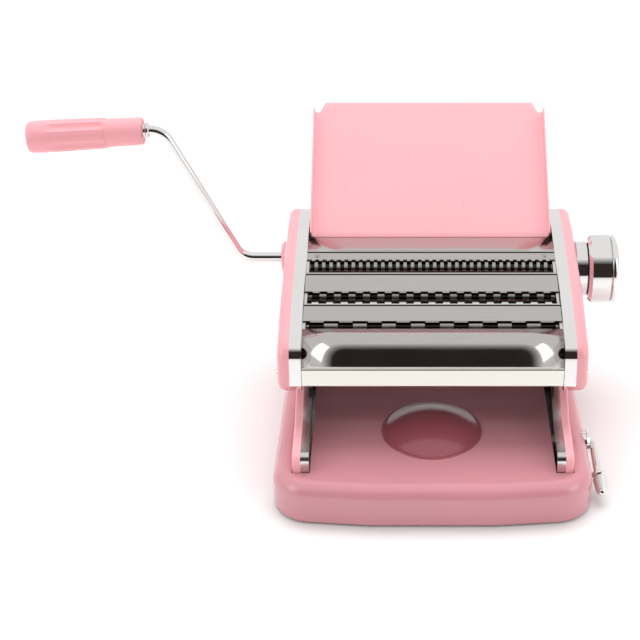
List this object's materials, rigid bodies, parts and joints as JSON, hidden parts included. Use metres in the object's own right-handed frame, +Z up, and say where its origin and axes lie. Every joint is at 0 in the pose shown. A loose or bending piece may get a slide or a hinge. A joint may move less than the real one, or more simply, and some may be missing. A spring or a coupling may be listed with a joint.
{
  "type": "pasta roller machine",
  "caption": "Hand-cranked pasta rolling and cutting machine on a suction base, with a leaning dough tray, fixed cutters, adjustable smooth rollers and a thickness knob.",
  "frame": {"origin": "centre of the underside of the base, on the worktop", "axes": "+Z up; +Y from the cutters towards the tray at the back; +X from the crank towards the thickness knob"},
  "size_m": [0.39, 0.2664, 0.1858],
  "materials": {
    "pink_gloss": "glossy moulded plastic",
    "pink_enamel": "smooth satin enamel on sheet steel",
    "pink_grip": "semi-gloss moulded plastic",
    "polished_steel": "polished stainless sheet",
    "bright_steel": "bright stainless bar",
    "chrome": "chrome plate",
    "frame_steel": "plain zinc-plated steel",
    "roller_steel": "ground nickel-plated steel",
    "gear_steel": "machined steel, lightly greased",
    "bearing_bronze": "sintered bearing bronze",
    "comb_plastic": "natural food-grade plastic",
    "scraper_steel": "thin spring steel",
    "dark_rubber": "soft black rubber",
    "stem_plastic": "hard grey plastic"
  },
  "bodies": {
    "frame": {"base_shell": "pink_gloss", "base_plate": "frame_steel", "base_gasket": "dark_rubber", "base_screws": "frame_steel", "leg_nuts": "frame_steel", "lever_bush": "chrome", "lever_bearer": "frame_steel", "side_plate_left": "frame_steel", "side_plate_right": "frame_steel", "tie_rods": "frame_steel", "cover_screws": "chrome", "leg_cover_left": "pink_enamel", "leg_cover_right": "pink_enamel", "side_trim_left": "chrome", "side_trim_right": "chrome", "side_cap_left": "pink_gloss", "side_cap_right": "pink_gloss", "deck_strip_top": "polished_steel", "deck_strip_middle": "polished_steel", "deck_strip_lower": "polished_steel", "top_plate": "polished_steel", "front_cover": "polished_steel", "front_lip": "bright_steel", "rear_cover": "polished_steel", "tray_bracket": "frame_steel", "roller_bushes": "bearing_bronze", "roller_scraper_rear": "scraper_steel", "knob_dial": "chrome", "cutter_bushes": "bearing_bronze", "stripper_comb_fine": "comb_plastic", "stripper_comb_medium": "comb_plastic", "stripper_comb_wide": "comb_plastic"},
    "suction_lock": {"suction_cup": "dark_rubber", "suction_stem": "stem_plastic"},
    "lever": {"lever_shaft": "frame_steel", "lever_arm": "chrome", "lever_collar": "chrome", "lever_grip": "chrome"},
    "drive_roller": {"rear_roller": "roller_steel", "rear_roller_gear": "gear_steel"},
    "gap_carriage": {"bearing_block_left": "bearing_bronze", "bearing_block_right": "bearing_bronze", "roller_scraper_front": "scraper_steel"},
    "adjustable_roller": {"front_roller": "roller_steel", "front_roller_gear": "gear_steel"},
    "regulator": {"regulator_shaft": "frame_steel", "regulator_cams": "frame_steel", "knob_spring": "frame_steel"},
    "knob": {"thickness_knob": "chrome", "knob_cap": "chrome"},
    "crank": {"crank_rod": "chrome", "crank_ferrule": "chrome"},
    "crank_handle": {"crank_grip": "pink_grip"},
    "tray": {"dough_tray": "pink_enamel"},
    "cutter_fine_driven": {"cutter_fine_back": "roller_steel"},
    "cutter_fine_mate": {"cutter_fine_front": "roller_steel"},
    "cutter_medium_driven": {"cutter_medium_back": "roller_steel"},
    "cutter_medium_mate": {"cutter_medium_front": "roller_steel"},
    "cutter_wide_driven": {"cutter_wide_back": "roller_steel"},
    "cutter_wide_mate": {"cutter_wide_front": "roller_steel"}
  },
  "joints": [
    {"name": "drive_roller_spin", "type": "hinge", "parent": "frame", "child": "drive_roller", "pos_m": [0, 0.09582, 0.08271], "axis": [1, 0, 0], "continuous": true},
    {"name": "gap_opening", "type": "slide", "parent": "frame", "child": "gap_carriage", "axis": [0, -0.9734, 0.2292], "range_m": [0, 0.0025]},
    {"name": "adjustable_roller_spin", "type": "hinge", "parent": "gap_carriage", "child": "adjustable_roller", "pos_m": [0, 0.06822, 0.08921], "axis": [1, 0, 0], "continuous": true},
    {"name": "thickness_setting", "type": "hinge", "parent": "frame", "child": "regulator", "pos_m": [0, 0.067, 0.0895], "axis": [1, 0, 0], "range_deg": [0, 180]},
    {"name": "knob_pull", "type": "slide", "parent": "regulator", "child": "knob", "axis": [1, 0, 0], "range_m": [0, 0.004], "stiffness_N_per_m": 500, "springref_m": -0.004, "deforming": ["knob_spring"]},
    {"name": "crank_withdraw", "type": "slide", "parent": "drive_roller", "child": "crank", "axis": [-1, 0, 0], "range_m": [0, 0.03]},
    {"name": "grip_spin", "type": "hinge", "parent": "crank", "child": "crank_handle", "pos_m": [-0.1884, 0.09582, 0.17671], "axis": [0.9982, 0, 0.0593], "continuous": true},
    {"name": "suction_lever", "type": "hinge", "parent": "frame", "child": "lever", "pos_m": [0, -0.031, 0.018], "axis": [-1, 0, 0], "range_deg": [0, 180]},
    {"name": "suction_lift", "type": "slide", "parent": "frame", "child": "suction_lock", "axis": [0, 0, 1], "range_m": [0, 0.0026]},
    {"name": "tray_lift", "type": "slide", "parent": "frame", "child": "tray", "axis": [0, 0.8348, 0.5505], "range_m": [0, 0.05]},
    {"name": "cutter_fine_drive", "type": "hinge", "parent": "frame", "child": "cutter_fine_driven", "pos_m": [0, 0.0451, 0.10089], "axis": [1, 0, 0], "continuous": true},
    {"name": "cutter_fine_return", "type": "hinge", "parent": "frame", "child": "cutter_fine_mate", "pos_m": [0, 0.03238, 0.09825], "axis": [1, 0, 0], "continuous": true},
    {"name": "cutter_medium_drive", "type": "hinge", "parent": "frame", "child": "cutter_medium_driven", "pos_m": [0, 0.01761, 0.0952], "axis": [1, 0, 0], "continuous": true},
    {"name": "cutter_medium_return", "type": "hinge", "parent": "frame", "child": "cutter_medium_mate", "pos_m": [0, 0.00488, 0.09256], "axis": [1, 0, 0], "continuous": true},
    {"name": "cutter_wide_drive", "type": "hinge", "parent": "frame", "child": "cutter_wide_driven", "pos_m": [0, -0.00989, 0.0895], "axis": [1, 0, 0], "continuous": true},
    {"name": "cutter_wide_return", "type": "hinge", "parent": "frame", "child": "cutter_wide_mate", "pos_m": [0, -0.02262, 0.08687], "axis": [1, 0, 0], "continuous": true}
  ],
  "couplings": [
    {"joint": "adjustable_roller_spin", "follows": "drive_roller_spin", "ratio": -1},
    {"joint": "gap_opening", "follows": "thickness_setting", "m_per_rad": 0.00079567},
    {"joint": "suction_lift", "follows": "suction_lever", "m_per_rad": 0.00082751},
    {"joint": "cutter_fine_return", "follows": "cutter_fine_drive", "ratio": -1},
    {"joint": "cutter_medium_return", "follows": "cutter_medium_drive", "ratio": -1},
    {"joint": "cutter_wide_return", "follows": "cutter_wide_drive", "ratio": -1}
  ]
}
